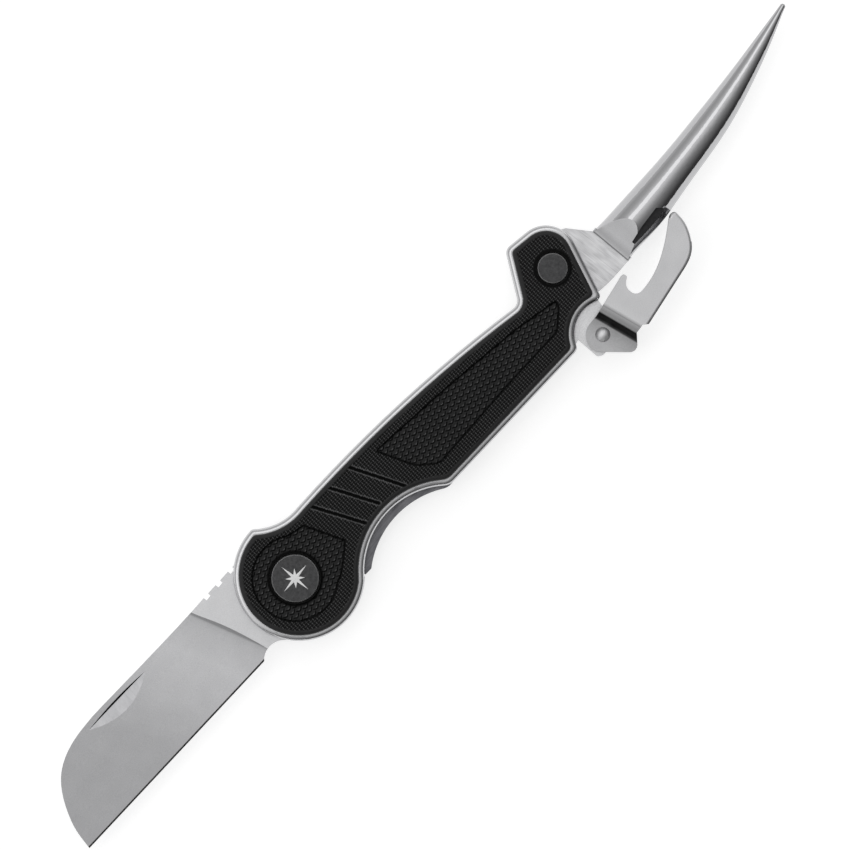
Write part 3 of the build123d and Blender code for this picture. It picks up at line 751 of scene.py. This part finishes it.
def relief_and_shade(points):
    """Height over the face, never above 0, and how bright each point is within its texture: painted
    shade in the pits, cuts, moat and grooves, painted highlights on the crests and lips.
    """
    threads = weave(points)
    height = -WEAVE_DEPTH * (1 - threads)
    tone = WEAVE_TONE * threads

    from_pivot = np.hypot(points[:, 0] - PIVOT[0], points[:, 1] - PIVOT[1])
    in_pivot_panel = np.maximum(depth_inside(points, PIVOT_POINT), PIVOT_PANEL_R - from_pivot)
    in_panel = np.maximum(in_pivot_panel, depth_inside(points, MAIN_PANEL))
    sunk = eased(in_panel, 0.0, PANEL_EDGE)
    moat = bell(in_panel - MOAT_AT, MOAT_WIDTH)
    carved, bright = strokes(points)
    panel = -PANEL_DEPTH + STROKE_DEPTH * (carved - STROKE_LEVEL) - MOAT_DEPTH * moat
    height = height * (1 - sunk) + sunk * panel
    tone = (tone * (1 - sunk) + sunk * bright) * (1 - MOAT_SHADE * moat)

    for ends in GROOVES:
        away = distance_to(points, np.array(ends), closed=False)
        cut = eased(away, GROOVE_TOP, GROOVE_BOTTOM)
        lip = bell(away - LIP_AT, LIP_WIDTH)
        height = height * (1 - LIP_FILL * lip)
        height = height * (1 - cut) - GROOVE_DEPTH * cut
        # Painted shade in the groove, painted highlight on its lip.
        tone = np.maximum(tone, LIP_HIGHLIGHT * lip) * (1 - cut)
    return height, tone


def on_land(points, rim, holes):
    """True for the points inside the rim and outside every hole."""
    found = inside(points, rim)
    for hole in holes:
        found &= ~inside(points, hole)
    return found


def gap_to(points, lines, chosen):
    """Distance from each chosen point to the nearest of the lines, and FAR for the others."""
    gap = np.full(len(points), FAR)
    for line in lines:
        gap[chosen] = np.minimum(gap[chosen], distance_to(points[chosen], line))
    return gap


def steps_over(reach, step):
    """Whole steps that cover every value of reach."""
    return np.arange(np.floor(reach.min() / step), np.ceil(reach.max() / step) + 1) * step


def whole_cells(clear, columns, rows):
    """Cells of a grid whose four corners are clear, as quads of point numbers."""
    number = np.arange(columns * rows).reshape(columns, rows)
    corners = (number[:-1, :-1], number[1:, :-1], number[1:, 1:], number[:-1, 1:])
    quads = np.stack(corners, -1).reshape(-1, 4)
    return quads[np.all(clear[quads], axis=1)]


def open_sides(quads):
    """Sides that belong to one quad only, in that quad's direction."""
    sides = {}
    for quad in quads.tolist():
        for start, end in zip(quad, quad[1:] + quad[:1]):
            if (end, start) in sides:
                del sides[(end, start)]
            else:
                sides[(start, end)] = True
    return list(sides)


def fill_strip(border, sides, grid, outlines):
    """Triangles over the border's points followed by the outlines' points, and their middles."""
    tolerance = 1e-6
    slot = {n: i for i, n in enumerate(border)}
    spots = [Vector(grid[n]) for n in border]
    edges = [(slot[start], slot[end]) for start, end in sides]
    for line in outlines:
        first = len(spots)
        count = len(line)
        spots += [Vector(p) for p in line]
        edges += [(first + k, first + (k + 1) % count) for k in range(count)]
    places, _, found, origins, _, _ = delaunay_2d_cdt(spots, edges, [], 0, tolerance)
    places = np.array([tuple(p) for p in places])
    origin = np.array([group[0] if group else -1 for group in origins])
    triangles = np.array([face for face in found if len(face) == 3])
    return origin[triangles], places[triangles].mean(axis=1)


# Grid of the texture, laid along the weave so that each thread is sampled alike.
GRID_U = WEAVE_X / 8
GRID_V = WEAVE_Y / 8
GRID_CLEARANCE = 0.6 * max(GRID_U, GRID_V)
FACE_SLACK = 1e-3
SHARP_DEG = 40.0


def moulded_scale(name, node_name, face_z, outward):
    """Scale whose flat face carries the texture; every other face is the CAD part's own."""
    points, triangles = welded(nodes[node_name])
    on_face = np.all(np.abs(points[triangles][:, :, 2] - face_z) < FACE_SLACK, axis=1)
    loops = rim_loops(triangles[on_face])
    outlines = [points[loop][:, :2] for loop in loops]
    widest = int(np.argmax([np.ptp(line[:, 0]) for line in outlines]))
    rim = outlines[widest]
    holes = outlines[:widest] + outlines[widest + 1:]

    a = radians(WEAVE_TILT)
    along = np.array((cos(a), sin(a)))
    across = np.array((-sin(a), cos(a)))
    us = steps_over(rim @ along, GRID_U)
    vs = steps_over(rim @ across, GRID_V)
    grid_u, grid_v = np.meshgrid(us, vs, indexing="ij")
    grid = grid_u.ravel()[:, None] * along + grid_v.ravel()[:, None] * across
    land = on_land(grid, rim, holes)
    rim_gap = gap_to(grid, [rim], land)
    hole_gap = gap_to(grid, holes, land)

    # Whole cells become quads, and the strip between them and the outlines becomes triangles.
    clear = land & (np.minimum(rim_gap, hole_gap) > GRID_CLEARANCE)
    quads = whole_cells(clear, len(us), len(vs))
    sides = open_sides(quads)
    border = sorted({n for side in sides for n in side})
    strip, middles = fill_strip(border, sides, grid, outlines)
    cell_u = np.floor((middles @ along - us[0]) / GRID_U).astype(int)
    cell_v = np.floor((middles @ across - vs[0]) / GRID_V).astype(int)
    has_quad = np.zeros(len(grid), bool)
    has_quad[quads[:, 0]] = True
    strip = strip[on_land(middles, rim, holes) & ~has_quad[cell_u * len(vs) + cell_v]]

    # One vertex list: the CAD part's, then the used points of the grid.
    used = np.unique(quads)
    vertex_of = np.full(len(grid), -1)
    vertex_of[used] = len(points) + np.arange(len(used))
    lifted = vertex_of[quads]
    joined = np.concatenate((vertex_of[border], *loops))[strip]
    if outward < 0:
        lifted = lifted[:, ::-1]
        joined = joined[:, ::-1]
    height, bright = relief_and_shade(grid[used])
    fade = eased(rim_gap[used], 0.0, RIM_EASE) * eased(hole_gap[used], 0.0, HOLE_EASE)
    textured = np.column_stack((grid[used], face_z + outward * height * fade))

    # The tone runs into the rim's, and a ring of painted shade marks the gap around each disc and
    # screw.
    plain_tone = np.full(len(points), RIM_TONE)
    for number, loop in enumerate(loops):
        if number != widest:
            plain_tone[loop] = 0.0
    ring = eased(hole_gap[used], RING_OUTER, RING_INNER)
    textured_tone = (RIM_TONE + (bright - RIM_TONE) * fade) * (1 - ring)
    tone = np.concatenate((plain_tone, textured_tone)).astype(np.float32)

    mesh = bpy.data.meshes.new(name)
    places = np.vstack((points, textured)) * MM
    faces = triangles[~on_face].tolist() + lifted.tolist() + joined.tolist()
    mesh.from_pydata(places.tolist(), [], faces)
    mesh.validate()
    # The tone stored here holds the painted shade and painted highlights of the texture.
    mesh.attributes.new("relief_and_shade", "FLOAT", "POINT").data.foreach_set("value", tone)
    mesh.shade_smooth()
    mesh.set_sharp_from_angle(angle=radians(SHARP_DEG))
    mesh.materials.append(NYLON)
    piece = bpy.data.objects.new(name, mesh)
    bpy.context.scene.collection.objects.link(piece)
    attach(piece, "handle")
    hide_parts(node_name)


moulded_scale("front_scale_moulded", "front_scale", FRONT_FACE, 1)
moulded_scale("back_scale_moulded", "back_scale", BACK_FACE, -1)


# ---------------------------------------------------------------- compass star of the pivot cap

def compass_star(name, centre, top_z, long_r, short_r, waist_r, rise):
    """Eight-pointed star with a ridge along each point, standing a little proud of the cap."""
    rooted = 0.05
    proud = 0.01
    radii = (long_r, waist_r, short_r, waist_r) * 4
    count = len(radii)
    angles = [pi / 2 + 2 * pi * k / count for k in range(count)]
    outline = [(centre[0] + r * cos(a), centre[1] + r * sin(a)) for r, a in zip(radii, angles)]
    low = [(x, y, top_z - rooted) for x, y in outline]
    edge = [(x, y, top_z + proud) for x, y in outline]
    vertices = low + edge + [(centre[0], centre[1], top_z + rise)]
    sides = [(k, (k + 1) % count) for k in range(count)]
    faces = [tuple(reversed(range(count)))]
    faces += [(k, after, count + after, count + k) for k, after in sides]
    faces += [(count + k, count + after, 2 * count) for k, after in sides]
    mesh = bpy.data.meshes.new(name)
    mesh.from_pydata([tuple(c * MM for c in v) for v in vertices], [], faces)
    mesh.materials.append(INLAY)
    piece = bpy.data.objects.new(name, mesh)
    bpy.context.scene.collection.objects.link(piece)
    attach(piece, "handle")


compass_star(
    "pivot_cap_star",
    PIVOT,
    CAP_TOP,
    long_r=3.7,
    short_r=2.1,
    waist_r=0.85,
    rise=0.08,
)


# ---------------------------------------------------------------- floor, light and camera

FLOOR_HALF = 6000.0
FLOOR_Z = -0.05
FLOOR_GLOW = 0.74
floor_mesh = bpy.data.meshes.new("floor")
signs = ((-1, -1), (1, -1), (1, 1), (-1, 1))
corners = [(x * FLOOR_HALF * MM, y * FLOOR_HALF * MM, FLOOR_Z * MM) for x, y in signs]
floor_mesh.from_pydata(corners, [], [(0, 1, 2, 3)])
floor = bpy.data.objects.new("floor", floor_mesh)
bpy.context.scene.collection.objects.link(floor)
pale = Look("pale_floor", (0.46, 0.46, 0.46), 0.9, specular=0.1)
pale.shader.inputs["Emission Color"].default_value = (1.0, 1.0, 1.0, 1.0)
pale.shader.inputs["Emission Strength"].default_value = FLOOR_GLOW
floor_mesh.materials.append(pale.material)

# Studio: a ceiling that darkens towards the edge side of the knife, and one long softbox on the
# spine side. Each pair of SKY is degrees from straight up towards the spine side, and brightness.
world = bpy.data.worlds.new("studio")
world.use_nodes = True
bpy.context.scene.world = world
tree = world.node_tree
way = tree.nodes.new("ShaderNodeTexCoord").outputs["Generated"]
split = tree.nodes.new("ShaderNodeSeparateXYZ")
tree.links.new(way, split.inputs[0])
lean_angle = tree.nodes.new("ShaderNodeMath")
lean_angle.operation = "ARCTAN2"
tree.links.new(split.outputs[1], lean_angle.inputs[0])
tree.links.new(split.outputs[2], lean_angle.inputs[1])
share = tree.nodes.new("ShaderNodeMapRange")
share.inputs["From Min"].default_value = -pi / 2
share.inputs["From Max"].default_value = pi / 2
tree.links.new(lean_angle.outputs[0], share.inputs["Value"])
sky = tree.nodes.new("ShaderNodeValToRGB")
SKY = (
    (-90, 0.05),
    (-70, 0.07),
    (-48, 0.20),
    (-32, 0.32),
    (-18, 0.50),
    (-4, 0.82),
    (8, 1.05),
    (30, 1.05),
    (40, 0.80),
    (52, 0.62),
    (68, 0.54),
    (90, 0.78),
)
while len(sky.color_ramp.elements) < len(SKY):
    sky.color_ramp.elements.new(0.5)
for element, (degrees, level) in zip(sky.color_ramp.elements, SKY):
    element.position = (degrees + 90) / 180
    element.color = (level, level, level, 1.0)
tree.links.new(share.outputs[0], sky.inputs["Fac"])
tree.links.new(sky.outputs["Color"], tree.nodes["Background"].inputs["Color"])

# The softbox faces the middle of the knife. Its sizes and its distance are metres.
BOX_MIDDLE = (42.6, 0.0, 0.0)
BOX_DISTANCE = 1.6
BOX_TILT = 21.0
BOX_LENGTH = 2.6
BOX_WIDTH = 0.55
BOX_RADIANCE = 0.55
box = bpy.data.lights.new("softbox", "AREA")
box.shape = "RECTANGLE"
box.size = BOX_LENGTH
box.size_y = BOX_WIDTH
box.energy = BOX_RADIANCE * pi * BOX_LENGTH * BOX_WIDTH
softbox = bpy.data.objects.new("softbox", box)
towards = Vector((0.0, sin(radians(BOX_TILT)), cos(radians(BOX_TILT))))
softbox.location = Vector(BOX_MIDDLE) * MM + towards * BOX_DISTANCE
softbox.rotation_euler = (radians(-BOX_TILT), 0.0, 0.0)
bpy.context.scene.collection.objects.link(softbox)

# The camera looks straight down, turned so that the knife lies corner to corner. VIEW_WIDTH is
# what it sees at VIEW_HEIGHT below it, in the plane at SIGHT_PLANE.
VIEW_CENTRE = (42.62, -0.42)
VIEW_WIDTH = 180.54
VIEW_HEIGHT = 3000.0
VIEW_TURN = -50.30
SIGHT_PLANE = 8.0
camera_data = bpy.data.cameras.new("camera")
camera_data.sensor_width = 36.0
camera_data.lens = camera_data.sensor_width * VIEW_HEIGHT / VIEW_WIDTH
camera_data.clip_end = 10.0
camera = bpy.data.objects.new("camera", camera_data)
camera.location = Vector((*VIEW_CENTRE, SIGHT_PLANE + VIEW_HEIGHT)) * MM
camera.rotation_euler = (0.0, 0.0, radians(VIEW_TURN))
bpy.context.scene.collection.objects.link(camera)
bpy.context.scene.camera = camera
bpy.context.scene.view_settings.view_transform = "Standard"
